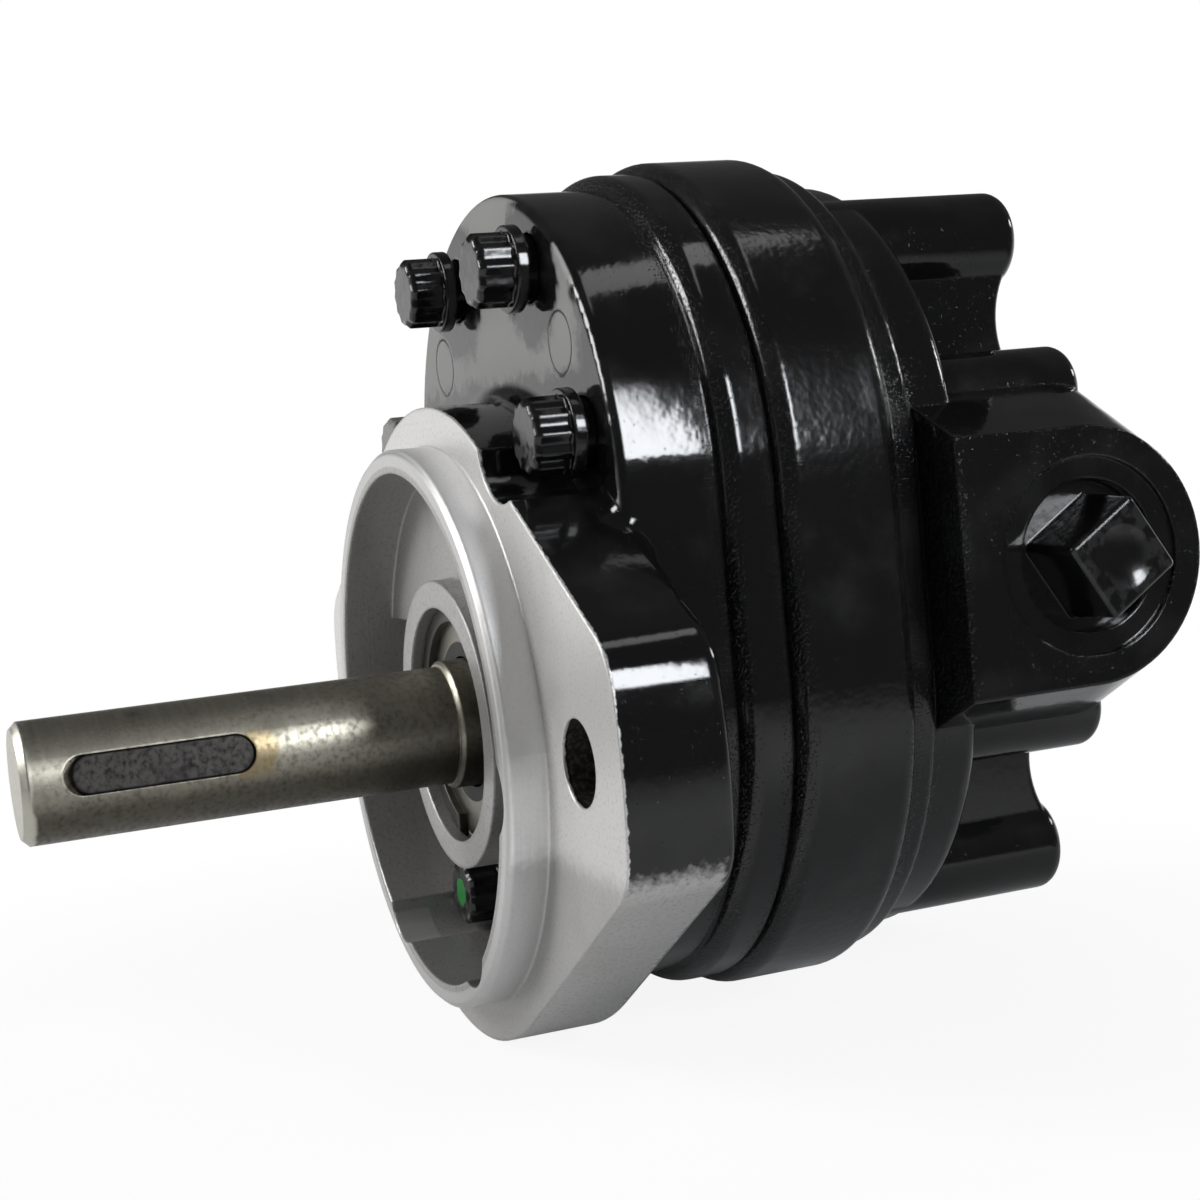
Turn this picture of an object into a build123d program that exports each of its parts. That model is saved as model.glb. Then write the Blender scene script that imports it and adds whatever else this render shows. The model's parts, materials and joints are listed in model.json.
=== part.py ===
from build123d import *
from math import acos, cos, pi, radians, sin, sqrt, tan
import os

# External gear pump, two-bolt SAE A mounting, keyed shaft.
# Frame: the origin is on the drive shaft axis at the mounting flange face.
# The shaft points along -Y, the idler gear is towards +Z, the ports are at +X and -X.
# All sizes are in millimetres.

# Mounting flange and pilot (SAE A two-bolt)
PILOT_DIAMETER = 82.55
PILOT_HEIGHT = 5.9
PILOT_WALL = 3.4
FLANGE_HOLE_SPACING = 106.4
FLANGE_HOLE_DIAMETER = 11.5
FLANGE_ROUND_RADIUS = 47.0
FLANGE_TIP_RADIUS = 67.6
FLANGE_TIP_ROUNDING = 9.0
FLANGE_SIDE_ANGLE = 31.5
FLANGE_THICKNESS = 15.0

# Stack of the three castings along the shaft
EAR_ROOT_FILLET = 3.0
SCREW_SEAT_Y = 12.6
COVER_RIM_THICKNESS = 7.5
FRONT_JOINT_Y = 34.0
GEAR_PLATE_THICKNESS = 18.0
BACK_RIM_THICKNESS = 4.0
BACK_DISC_THICKNESS = 12.5
COVER_RIM_Y = FRONT_JOINT_Y - COVER_RIM_THICKNESS
REAR_JOINT_Y = FRONT_JOINT_Y + GEAR_PLATE_THICKNESS
BACK_RIM_Y = REAR_JOINT_Y + BACK_RIM_THICKNESS
BACK_DISC_Y = REAR_JOINT_Y + BACK_DISC_THICKNESS

# Outlines across the shaft
CENTRE_DISTANCE = 36.0
BODY_CENTRE_Z = CENTRE_DISTANCE / 2
COVER_RADIUS = 43.9
COVER_RIM_RADIUS = 46.6
PLATE_RADIUS = 48.6
PLATE_HALF_SPREAD = 14.1
BACK_RIM_RADIUS = 46.2
BACK_DISC_RADIUS = 43.8
CAST_EDGE = 2.6

# Gears
GEAR_MODULE = 3.0
GEAR_TEETH = 12
PRESSURE_ANGLE = 25.0
TOOTH_BACKLASH = 0.10
GEAR_TIP_CLEARANCE = 0.06
GEAR_SIDE_CLEARANCE = 0.03
PRESSURE_PLATE_THICKNESS = 2.0
GEAR_KEY_WIDTH = 4.76
GEAR_KEY_DEPTH = 2.4

# Shafts and bushings
OUTPUT_DIAMETER = 17.46
OUTPUT_LENGTH = 63.4
OUTPUT_CHAMFER = 1.0
SHOULDER_Y = -1.5
JOURNAL_DIAMETER = 19.05
JOURNAL_CLEARANCE = 0.03
BUSHING_DIAMETER = 23.0
BUSHING_LENGTH = 16.0
BUSHING_END_GAP = 1.5

# Shaft key
KEY_WIDTH = 5.6
KEY_LENGTH = 25.4
KEY_PROUD = -0.5
KEY_SEAT_DEPTH = 3.0
KEY_SLOT_LENGTH = 26.4
KEY_SLOT_START = 5.7
KEY_TURN = 8.0

# Seal hub inside the pilot
HUB_DIAMETER = 43.0
HUB_FRONT_Y = -1.0
SEAL_BORE_DIAMETER = 34.9
SEAL_BORE_DEPTH_Y = 10.5
SEAL_FRONT_Y = 2.2
SEAL_BACK_Y = 8.6
SEAL_SHELL = 1.0
RING_GROOVE_DEPTH = 0.9
RING_THICKNESS = 1.2
LIP_CLEARANCE = 0.03
SHELF_FLOOR_Y = 2.2
SHELF_EDGE_Z = 14.0

# Cap screws
SCREW_DIAMETER = 9.525
SCREW_CLEARANCE_DIAMETER = 10.0
SCREW_CIRCLE_RADIUS = 33.4
SCREW_ANGLES = (9.0, 60.0, 120.0, 171.0)
SCREW_HEAD_DIAMETER = 10.7
SCREW_HEAD_LENGTH = 7.0
SCREW_FLANGE_DIAMETER = 12.4
SCREW_FLANGE_THICKNESS = 1.8
SCREW_POCKET_RADIUS = 6.45
SCREW_RELIEF_RADIUS = 8.6
SCREW_THREAD_DEPTH = 32.0
SCREW_HOLE_SPARE = 2.0
SCREW_END_Y = REAR_JOINT_Y + SCREW_THREAD_DEPTH

# Dowels
DOWEL_DIAMETER = 9.0
DOWEL_X = 26.7
DOWEL_Z = 53.7
DOWEL_REAR_DEPTH = 10.0
DOWEL_END_Y = REAR_JOINT_Y + DOWEL_REAR_DEPTH

# Rear casting: pillars, ribs and port block, with lengths from the rear joint
PILLAR_RADIUS = 7.2
PILLAR_LENGTH = 37.2
PILLAR_EDGE = 2.4
SIDE_PILLAR_RADIUS = 6.4
SIDE_PILLAR_LENGTH = 36.0
RIB_THICKNESS = 9.0
RIB_LENGTH = 36.5
RIB_SCALLOP_DEPTH = 2.5
RIB_EDGE = 1.2
WEB_WIDTH = 40.0
WEB_LENGTH = 26.5
WEB_EDGE = 2.0
PORT_FACE_X = 54.0
PORT_OFFSET_Y = 25.2
PORT_HALF_HEIGHT = 17.9
PORT_ROOT_X = 30.0
PORT_ROOT_HALF_HEIGHT = 28.0
BLOCK_LENGTH = 37.5
BLOCK_ROUNDING = 5.0
BLOCK_EDGE = 3.0
BLOCK_CORNER = 4.0
ARM_SETBACK = 5.0
PORT_Y = REAR_JOINT_Y + PORT_OFFSET_Y
BLOCK_END_Y = REAR_JOINT_Y + BLOCK_LENGTH
PORT_SPOT_DIAMETER = 27.6
PORT_SPOT_DEPTH = 0.6
PORT_THREAD_DIAMETER = 21.3
PORT_THREAD_LENGTH = 18.0
PORT_PASSAGE_DIAMETER = 15.0
GALLERY_X = 17.0
GALLERY_DIAMETER = 9.6

# Port plug with a square head, dished on top
PLUG_RECESS = 3.0
PLUG_LENGTH = 13.0
PLUG_SQUARE = 13.0
PLUG_SQUARE_HEIGHT = 10.5
PLUG_SQUARE_ROUNDING = 1.2
PLUG_TURN = 33.0
PLUG_DISH_DIAMETER = 9.0
PLUG_DISH_DEPTH = 0.7

# Seals between the castings
SEAL_GROOVE_RADIUS = 23.9
SEAL_GROOVE_WIDTH = 1.9
SEAL_GROOVE_DEPTH = 1.4

os.makedirs("parts", exist_ok=True)


def across(y):
    """Plane across the shaft at this Y, with local x = X and local y = Z."""
    return Plane(origin=(0, y, 0), x_dir=(1, 0, 0), z_dir=(0, -1, 0))


def slab(profile, y_start, y_end):
    """Extrude a profile drawn across the shaft from y_start to y_end."""
    return extrude(across(y_start) * profile, amount=y_start - y_end)


def rod(radius, y_start, y_end, x=0.0, z=0.0):
    """Round bar along Y."""
    return slab(Pos(x, z) * Circle(radius), y_start, y_end)


def bar_x(radius, x_start, x_end, y, z):
    """Round bar along X."""
    plane = Plane(origin=(x_start, y, z), x_dir=(0, 1, 0), z_dir=(1, 0, 0))
    return extrude(plane * Circle(radius), amount=x_end - x_start)


def obround(radius, spread):
    """Outline of two equal circles, one above the other, centred on the body."""
    slot = SlotCenterToCenter(2 * spread, 2 * radius, rotation=90)
    return Pos(0, BODY_CENTRE_Z) * slot


def front_loop(solid):
    """Edges of the face nearest the shaft end."""
    return solid.faces().sort_by(Axis.Y)[0].edges()


def back_loop(solid):
    """Edges of the face furthest from the shaft end."""
    return solid.faces().sort_by(Axis.Y)[-1].edges()


def one_solid(shape):
    """The single solid inside a boolean result."""
    solids = shape.solids()
    assert len(solids) == 1, "expected one solid"
    return solids[0]


# Screw positions: four around each gear axis, mirrored about the body centre
upper_screws = []
lower_screws = []
for angle in SCREW_ANGLES:
    dx = SCREW_CIRCLE_RADIUS * cos(radians(angle))
    dz = SCREW_CIRCLE_RADIUS * sin(radians(angle))
    upper_screws.append((dx, CENTRE_DISTANCE + dz))
    lower_screws.append((dx, -dz))
screws = upper_screws + lower_screws
dowels = [(DOWEL_X, DOWEL_Z), (-DOWEL_X, DOWEL_Z)]

journal_radius = JOURNAL_DIAMETER / 2
bushing_radius = BUSHING_DIAMETER / 2
pitch_radius = GEAR_MODULE * GEAR_TEETH / 2
tip_radius = pitch_radius + GEAR_MODULE
root_radius = pitch_radius - 1.2 * GEAR_MODULE
bore_radius = tip_radius + GEAR_TIP_CLEARANCE
axes_z = (0.0, CENTRE_DISTANCE)

# ---------------------------------------------------------------- front cover
# Diamond flange: a disc with two ears bounded by lines tangent to the disc
half_angle = radians(FLANGE_SIDE_ANGLE)
tangent_x = FLANGE_ROUND_RADIUS * sin(half_angle)
tangent_z = FLANGE_ROUND_RADIUS * cos(half_angle)
apex_x = FLANGE_ROUND_RADIUS / sin(half_angle)
diamond = Polygon(
    (apex_x, 0),
    (tangent_x, tangent_z),
    (-tangent_x, tangent_z),
    (-apex_x, 0),
    (-tangent_x, -tangent_z),
    (tangent_x, -tangent_z),
    align=None,
)
flange_profile = (diamond & Circle(FLANGE_TIP_RADIUS)) + Circle(FLANGE_ROUND_RADIUS)
tip_corners = flange_profile.vertices().filter_by(lambda v: abs(v.X) > FLANGE_HOLE_SPACING / 2)
flange_profile = fillet(tip_corners, FLANGE_TIP_ROUNDING)
flange = slab(flange_profile, 0, FLANGE_THICKNESS)
flange = fillet(back_loop(flange), 2.0)

cover_spread = BODY_CENTRE_Z - 2.8
cover_disc = slab(obround(COVER_RADIUS, cover_spread), SCREW_SEAT_Y, COVER_RIM_Y + 1.0)
cover_disc = fillet(front_loop(cover_disc), 1.2)
rim_spread = BODY_CENTRE_Z - 3.4
cover_rim = slab(obround(COVER_RIM_RADIUS, rim_spread), COVER_RIM_Y, FRONT_JOINT_Y)
cover_rim = fillet(front_loop(cover_rim), CAST_EDGE)
cover_rim = chamfer(back_loop(cover_rim), 0.8)
pilot = rod(PILOT_DIAMETER / 2, -PILOT_HEIGHT, 2.0)
pilot = chamfer(front_loop(pilot), 0.7)


def is_ear_root(edge):
    """True for an edge along which an ear's back meets the side of the cover."""
    middle = edge.center()
    straight_half = max(abs(middle.Z - BODY_CENTRE_Z) - cover_spread, 0)
    reach = (middle.X**2 + straight_half**2) ** 0.5
    return abs(middle.Y - FLANGE_THICKNESS) < 0.01 and abs(reach - COVER_RADIUS) < 3.0


# The ears flow into the cover's side in a cast fillet
cover = flange + cover_disc
ear_roots = [edge for edge in cover.edges() if is_ear_root(edge)]
cover = fillet(ear_roots, EAR_ROOT_FILLET)
cover += cover_rim + pilot

# Relief around the two near screws, so that a socket clears the flange
for x, z in upper_screws:
    cover -= rod(SCREW_RELIEF_RADIUS, -1.0, SCREW_SEAT_Y, x, z)

# Hollow pilot: a ring-shaped pocket around the seal hub, deeper at the screws
pocket_radius = PILOT_DIAMETER / 2 - PILOT_WALL
pocket_ring = Circle(pocket_radius) - Circle(HUB_DIAMETER / 2)
shelf_side = Pos(0, SHELF_EDGE_Z - PILOT_DIAMETER / 2) * Rectangle(PILOT_DIAMETER, PILOT_DIAMETER)
cover -= slab(Circle(pocket_radius), -PILOT_HEIGHT - 1.0, HUB_FRONT_Y)
cover -= slab(pocket_ring, HUB_FRONT_Y, SHELF_FLOOR_Y)
cover -= slab(pocket_ring & shelf_side, SHELF_FLOOR_Y, SCREW_SEAT_Y)
for x, z in lower_screws:
    pocket = Pos(x, z) * Circle(SCREW_POCKET_RADIUS) - Circle(HUB_DIAMETER / 2)
    cover -= slab(pocket, -PILOT_HEIGHT - 1.0, SCREW_SEAT_Y)

# Bores: mounting holes, seal bore, retaining ring groove, bushings, screws, dowels
for side in (-1, 1):
    cover -= rod(FLANGE_HOLE_DIAMETER / 2, -1.0, FLANGE_THICKNESS + 1.0, side * FLANGE_HOLE_SPACING / 2)
seal_bore_radius = SEAL_BORE_DIAMETER / 2
cover -= rod(seal_bore_radius, HUB_FRONT_Y - 1.0, SEAL_BORE_DEPTH_Y)
ring_front_y = SEAL_FRONT_Y - RING_THICKNESS
cover -= rod(seal_bore_radius + RING_GROOVE_DEPTH, ring_front_y, SEAL_FRONT_Y)
cover -= rod(bushing_radius, SEAL_BORE_DEPTH_Y - 1.0, FRONT_JOINT_Y + 1.0)
front_bushing_y = FRONT_JOINT_Y - BUSHING_LENGTH
cover -= rod(bushing_radius, front_bushing_y - BUSHING_END_GAP, FRONT_JOINT_Y + 1.0, 0, CENTRE_DISTANCE)
for x, z in screws:
    cover -= rod(SCREW_CLEARANCE_DIAMETER / 2, SCREW_SEAT_Y - 1.0, FRONT_JOINT_Y + 1.0, x, z)
for x, z in dowels:
    cover -= rod(DOWEL_DIAMETER / 2, SCREW_SEAT_Y - 1.0, FRONT_JOINT_Y + 1.0, x, z)

# Seal groove around both gear bores
groove_inner = SEAL_GROOVE_RADIUS - SEAL_GROOVE_WIDTH
groove_profile = obround(SEAL_GROOVE_RADIUS, BODY_CENTRE_Z) - obround(groove_inner, BODY_CENTRE_Z)
cover -= slab(groove_profile, FRONT_JOINT_Y - SEAL_GROOVE_DEPTH, FRONT_JOINT_Y + 1.0)
front_cover = one_solid(cover)

# ----------------------------------------------------------------- gear plate
plate = slab(obround(PLATE_RADIUS, PLATE_HALF_SPREAD), FRONT_JOINT_Y, REAR_JOINT_Y)
plate = fillet(front_loop(plate) + back_loop(plate), CAST_EDGE)
for z in axes_z:
    plate -= rod(bore_radius, FRONT_JOINT_Y - 1.0, REAR_JOINT_Y + 1.0, 0, z)
for side in (-1, 1):
    pocket = Pos(side * GALLERY_X / 2, BODY_CENTRE_Z) * Rectangle(GALLERY_X, GALLERY_DIAMETER)
    pocket += Pos(side * GALLERY_X, BODY_CENTRE_Z) * Circle(GALLERY_DIAMETER / 2)
    plate -= slab(pocket, FRONT_JOINT_Y - 1.0, REAR_JOINT_Y + 1.0)
for x, z in screws:
    plate -= rod(SCREW_CLEARANCE_DIAMETER / 2, FRONT_JOINT_Y - 1.0, REAR_JOINT_Y + 1.0, x, z)
for x, z in dowels:
    plate -= rod(DOWEL_DIAMETER / 2, FRONT_JOINT_Y - 1.0, REAR_JOINT_Y + 1.0, x, z)
gear_plate = one_solid(plate)

# ----------------------------------------------------------------- back plate
back_rim = slab(obround(BACK_RIM_RADIUS, PLATE_HALF_SPREAD + 0.4), REAR_JOINT_Y, BACK_RIM_Y)
back_rim = fillet(back_loop(back_rim), 1.4)
back_disc = slab(obround(BACK_DISC_RADIUS, PLATE_HALF_SPREAD), REAR_JOINT_Y, BACK_DISC_Y)
back_disc = fillet(back_loop(back_disc), CAST_EDGE)
back = back_rim + back_disc

# Pillars carry the screw threads; the ones beside the ports end inside the block
pillar_start_y = REAR_JOINT_Y + BACK_RIM_THICKNESS / 2
for x, z in screws:
    beside_port = abs(x) > PORT_ROOT_X
    pillar_radius = SIDE_PILLAR_RADIUS if beside_port else PILLAR_RADIUS
    pillar_length = SIDE_PILLAR_LENGTH if beside_port else PILLAR_LENGTH
    pillar = rod(pillar_radius, pillar_start_y, REAR_JOINT_Y + pillar_length, x, z)
    back += fillet(back_loop(pillar), PILLAR_EDGE)

# A low web joins each outer pair of pillars, and a rib with a scalloped end runs
# from each pillar to the block
core_half = PORT_ROOT_HALF_HEIGHT
outer_pillars = [(x, z) for x, z in screws if abs(x) < PORT_ROOT_X]
for side in (-1, 1):
    pair_z = [z for x, z in outer_pillars if side * (z - BODY_CENTRE_Z) > 0][0]
    block_z = BODY_CENTRE_Z + side * core_half
    web_inner_z = block_z - side * BLOCK_CORNER
    web_height = abs(pair_z - web_inner_z) + PILLAR_RADIUS / 2
    web = Pos(0, web_inner_z + side * web_height / 2) * Rectangle(WEB_WIDTH, web_height)
    web_solid = slab(web, pillar_start_y, REAR_JOINT_Y + WEB_LENGTH)
    back += fillet(back_loop(web_solid), WEB_EDGE)
for x, z in outer_pillars:
    side = 1 if z > BODY_CENTRE_Z else -1
    block_z = BODY_CENTRE_Z + side * core_half
    rib_inner_z = block_z - side * BLOCK_CORNER
    rib_outline = Pos(x, (z + rib_inner_z) / 2) * Rectangle(RIB_THICKNESS, abs(z - rib_inner_z))
    rib = slab(rib_outline, pillar_start_y, REAR_JOINT_Y + RIB_LENGTH)
    half_chord = abs(z - side * PILLAR_RADIUS - block_z) / 2 + RIB_SCALLOP_DEPTH
    scallop_radius = (half_chord**2 + RIB_SCALLOP_DEPTH**2) / (2 * RIB_SCALLOP_DEPTH)
    scallop_z = (z - side * PILLAR_RADIUS + block_z) / 2
    scallop_y = REAR_JOINT_Y + RIB_LENGTH - RIB_SCALLOP_DEPTH + scallop_radius
    rib -= bar_x(scallop_radius, x - RIB_THICKNESS, x + RIB_THICKNESS, scallop_y, scallop_z)
    back += fillet(rib.edges().filter_by(GeomType.CIRCLE), RIB_EDGE)

# Port block: a core between the side pillars and a tapered arm to each port
core_width = 2 * PORT_ROOT_X + 1.0
core_outline = Pos(0, BODY_CENTRE_Z) * RectangleRounded(core_width, 2 * core_half, BLOCK_CORNER)
core = slab(core_outline, BACK_RIM_Y, BLOCK_END_Y)
back += fillet(back_loop(core), BLOCK_EDGE)


def arm_section(x, y_start, y_end, half_height, rounding):
    """Side view of the port arm at this X, with rounded rear corners."""
    plane = Plane(origin=(x, 0, BODY_CENTRE_Z), x_dir=(0, 1, 0), z_dir=(1, 0, 0))
    box = Pos((y_start + y_end) / 2, 0) * Rectangle(y_end - y_start, 2 * half_height)
    rear = box.vertices().sort_by(Axis.X)[-2:]
    return plane * fillet(rear, rounding)


arm_start_y = REAR_JOINT_Y + ARM_SETBACK
arm_end_y = PORT_Y + PORT_HALF_HEIGHT
for side in (-1, 1):
    root = arm_section(side * PORT_ROOT_X, arm_start_y, BLOCK_END_Y, core_half, BLOCK_ROUNDING)
    tip = arm_section(side * PORT_FACE_X, arm_start_y, arm_end_y, PORT_HALF_HEIGHT, PORT_HALF_HEIGHT - 0.05)
    back += loft([root.face(), tip.face()], ruled=True)

# Ports: spot face, thread bore, passage and gallery to the gears on each side
# The passage ends inside the gallery, so the two bores always open into each other
passage_end_x = GALLERY_X - 0.3 * GALLERY_DIAMETER
for side in (-1, 1):
    face_x = side * PORT_FACE_X
    back -= bar_x(PORT_SPOT_DIAMETER / 2, side * (PORT_FACE_X + 1.0), side * (PORT_FACE_X - PORT_SPOT_DEPTH), PORT_Y, BODY_CENTRE_Z)
    back -= bar_x(PORT_THREAD_DIAMETER / 2, face_x, side * (PORT_FACE_X - PORT_THREAD_LENGTH), PORT_Y, BODY_CENTRE_Z)
    back -= bar_x(PORT_PASSAGE_DIAMETER / 2, face_x, side * passage_end_x, PORT_Y, BODY_CENTRE_Z)
    back -= rod(GALLERY_DIAMETER / 2, REAR_JOINT_Y - 1.0, PORT_Y, side * GALLERY_X, BODY_CENTRE_Z)
rear_bushing_end_y = REAR_JOINT_Y + BUSHING_LENGTH
for z in axes_z:
    back -= rod(bushing_radius, REAR_JOINT_Y - 1.0, rear_bushing_end_y + BUSHING_END_GAP, 0, z)
for x, z in screws:
    back -= rod(SCREW_DIAMETER / 2, REAR_JOINT_Y - 1.0, SCREW_END_Y + SCREW_HOLE_SPARE, x, z)
for x, z in dowels:
    back -= rod(DOWEL_DIAMETER / 2, REAR_JOINT_Y - 1.0, DOWEL_END_Y, x, z)
back -= slab(groove_profile, REAR_JOINT_Y - 1.0, REAR_JOINT_Y + SEAL_GROOVE_DEPTH)
back_plate = one_solid(back)

# ---------------------------------------------------------------------- gears


def involute(angle):
    return tan(angle) - angle


def gear_profile():
    """Spur gear outline with involute flanks, one tooth pointing along local y."""
    pressure = radians(PRESSURE_ANGLE)
    base_radius = pitch_radius * cos(pressure)
    half_tooth = (pi * GEAR_MODULE / 2 - TOOTH_BACKLASH) / 2 / pitch_radius
    steps = 5
    radii = [base_radius + (tip_radius - base_radius) * i / (steps - 1) for i in range(steps)]
    half_angles = []
    for r in radii:
        half_angles.append(half_tooth + involute(pressure) - involute(acos(min(1.0, base_radius / r))))
    edges = []
    pitch_step = 2 * pi / GEAR_TEETH
    for tooth in range(GEAR_TEETH):
        centre = pi / 2 + tooth * pitch_step

        def at(radius, angle):
            return (radius * cos(centre + angle), radius * sin(centre + angle))

        right = [at(r, -a) for r, a in zip(radii, half_angles)]
        left = [at(r, a) for r, a in zip(radii, half_angles)]
        root_right = at(root_radius, -half_angles[0])
        root_left = at(root_radius, half_angles[0])
        next_root = at(root_radius, pitch_step - half_angles[0])
        mid_root = at(root_radius, pitch_step / 2)
        edges.append(Line(root_right, right[0]))
        edges.append(Spline(*right))
        edges.append(ThreePointArc(right[-1], at(tip_radius, 0), left[-1]))
        edges.append(Spline(*reversed(left)))
        edges.append(Line(left[0], root_left))
        edges.append(ThreePointArc(root_left, mid_root, next_root))
    return make_face(edges)


gear_front_y = FRONT_JOINT_Y + PRESSURE_PLATE_THICKNESS + GEAR_SIDE_CLEARANCE
gear_back_y = REAR_JOINT_Y - GEAR_SIDE_CLEARANCE
tooth_profile = gear_profile()
key_top = journal_radius + GEAR_KEY_DEPTH
key_slot = Pos(0, -key_top / 2) * Rectangle(GEAR_KEY_WIDTH, key_top)
drive_gear_profile = tooth_profile - Circle(journal_radius) - key_slot
drive_gear = one_solid(slab(drive_gear_profile, gear_front_y, gear_back_y))
half_step = 180 / GEAR_TEETH
idler_profile = Pos(0, CENTRE_DISTANCE) * (Rot(0, 0, half_step) * tooth_profile - Circle(journal_radius))
idler_gear = one_solid(slab(idler_profile, gear_front_y, gear_back_y))

key_bottom = journal_radius - GEAR_KEY_DEPTH
key_profile = Pos(0, -(key_top + key_bottom) / 2) * Rectangle(GEAR_KEY_WIDTH, key_top - key_bottom)
gear_key = one_solid(slab(key_profile, gear_front_y + 1.0, gear_back_y - 1.0))

# --------------------------------------------------------------------- shafts
shaft_back_y = rear_bushing_end_y - 0.5
output = rod(OUTPUT_DIAMETER / 2, -OUTPUT_LENGTH, SHOULDER_Y)
output = chamfer(front_loop(output), OUTPUT_CHAMFER)
journal = rod(journal_radius, SHOULDER_Y, shaft_back_y)
journal = chamfer(front_loop(journal), 0.5)
journal = chamfer(back_loop(journal), 0.8)
shaft = output + journal
shaft -= slab(key_profile, gear_front_y + 1.0, gear_back_y - 1.0)

# Round-ended key seat in the output end, turned a little from the port side
slot_front_y = -OUTPUT_LENGTH + KEY_SLOT_START
slot_mid_y = slot_front_y + KEY_SLOT_LENGTH / 2
key_mid_y = slot_front_y + KEY_SLOT_LENGTH - KEY_LENGTH / 2
seat_x = OUTPUT_DIAMETER / 2 - KEY_SEAT_DEPTH


def key_block(mid_y, length, width, height):
    """Round-ended bar on the +X side of the output shaft."""
    plane = Plane(origin=(seat_x, mid_y, 0), x_dir=(0, 1, 0), z_dir=(1, 0, 0))
    return extrude(plane * SlotOverall(length, width), amount=height)


seat = key_block(slot_mid_y, KEY_SLOT_LENGTH, KEY_WIDTH, KEY_SEAT_DEPTH + 1.0)
shaft -= Rot(0, -KEY_TURN, 0) * seat
drive_shaft = one_solid(shaft)
key = key_block(key_mid_y, KEY_LENGTH, KEY_WIDTH, KEY_SEAT_DEPTH + KEY_PROUD)
key = chamfer(key.faces().sort_by(Axis.X)[-1].edges(), 0.3)
shaft_key = one_solid(Rot(0, -KEY_TURN, 0) * key)

idler = rod(journal_radius, front_bushing_y - 0.5, shaft_back_y, 0, CENTRE_DISTANCE)
idler_shaft = one_solid(chamfer(front_loop(idler) + back_loop(idler), 0.8))

# ------------------------------------------------------------------- bushings
bushing_bore = journal_radius + JOURNAL_CLEARANCE
bushing_profile = Circle(bushing_radius) - Circle(bushing_bore)


def bushing(y_start, z):
    tube = slab(Pos(0, z) * bushing_profile, y_start, y_start + BUSHING_LENGTH)
    return one_solid(tube)


drive_front_bushing = bushing(front_bushing_y, 0)
idler_front_bushing = bushing(front_bushing_y, CENTRE_DISTANCE)
drive_rear_bushing = bushing(REAR_JOINT_Y, 0)
idler_rear_bushing = bushing(REAR_JOINT_Y, CENTRE_DISTANCE)

# ------------------------------------------------- pressure plate and its seal
eight = Circle(bore_radius) + Pos(0, CENTRE_DISTANCE) * Circle(bore_radius)
for z in axes_z:
    eight -= Pos(0, z) * Circle(bushing_bore + 0.2)
plate_back_y = FRONT_JOINT_Y + PRESSURE_PLATE_THICKNESS
pressure_plate = one_solid(slab(eight, FRONT_JOINT_Y, plate_back_y))

# --------------------------------------------------------- seals and retainer
body_seal_front = one_solid(slab(groove_profile, FRONT_JOINT_Y - SEAL_GROOVE_DEPTH, FRONT_JOINT_Y))
body_seal_rear = one_solid(slab(groove_profile, REAR_JOINT_Y, REAR_JOINT_Y + SEAL_GROOVE_DEPTH))

lip_radius = journal_radius + LIP_CLEARANCE
shell_base = rod(seal_bore_radius, SEAL_FRONT_Y, SEAL_BACK_Y) - rod(lip_radius + 2.4, SEAL_FRONT_Y - 1, SEAL_BACK_Y + 1)
shell_hollow = rod(seal_bore_radius - SEAL_SHELL, SEAL_FRONT_Y + SEAL_SHELL, SEAL_BACK_Y + 1.0)
seal_case = one_solid(shell_base - shell_hollow)
lip_profile = Polygon(
    (lip_radius + 2.4, SEAL_FRONT_Y),
    (lip_radius + 2.4, SEAL_FRONT_Y + 3.4),
    (lip_radius + 1.0, SEAL_BACK_Y - 0.6),
    (lip_radius, SEAL_BACK_Y - 1.6),
    (lip_radius + 1.2, SEAL_FRONT_Y + 1.6),
    (lip_radius + 0.3, SEAL_FRONT_Y + 0.3),
    align=None,
)
seal_lip = one_solid(revolve(lip_profile, Axis.Y))
spring_radius = 0.6
spring_at = (lip_radius + 2.4 + spring_radius, SEAL_FRONT_Y + 2.4)
garter_spring = one_solid(revolve(Pos(*spring_at) * Circle(spring_radius), Axis.Y))

ring_outer = seal_bore_radius + RING_GROOVE_DEPTH
ring_profile = Circle(ring_outer) - Circle(ring_outer - 3.2)
ring_gap = Pos(0, -ring_outer) * Rectangle(9.0, 8.0)
retaining_ring = one_solid(slab(ring_profile - ring_gap, ring_front_y, SEAL_FRONT_Y))

# ------------------------------------------------------- screws, dowels, plug
head_square = SCREW_HEAD_DIAMETER / sqrt(2)
twelve_point = Rectangle(head_square, head_square)
for turn in (30, 60):
    twelve_point += Rot(0, 0, turn) * Rectangle(head_square, head_square)
head_front_y = SCREW_SEAT_Y - SCREW_FLANGE_THICKNESS - SCREW_HEAD_LENGTH


def cap_screw(x, z):
    """Twelve-point cap screw with a washer flange under its head."""
    head = slab(twelve_point, head_front_y, SCREW_SEAT_Y - 1.0)
    head = chamfer(front_loop(head), 0.35)
    washer = rod(SCREW_FLANGE_DIAMETER / 2, SCREW_SEAT_Y - SCREW_FLANGE_THICKNESS, SCREW_SEAT_Y)
    washer = chamfer(front_loop(washer), 0.5)
    shank = rod(SCREW_DIAMETER / 2, SCREW_SEAT_Y - 1.0, SCREW_END_Y)
    return Pos(x, 0, z) * one_solid(head + washer + shank)


cap_screws = Compound(children=[cap_screw(x, z) for x, z in screws])


def dowel(x, z):
    pin = rod(DOWEL_DIAMETER / 2, SCREW_SEAT_Y, DOWEL_END_Y, x, z)
    return one_solid(chamfer(back_loop(pin), 0.6))


dowel_pins = Compound(children=[dowel(x, z) for x, z in dowels])

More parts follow.
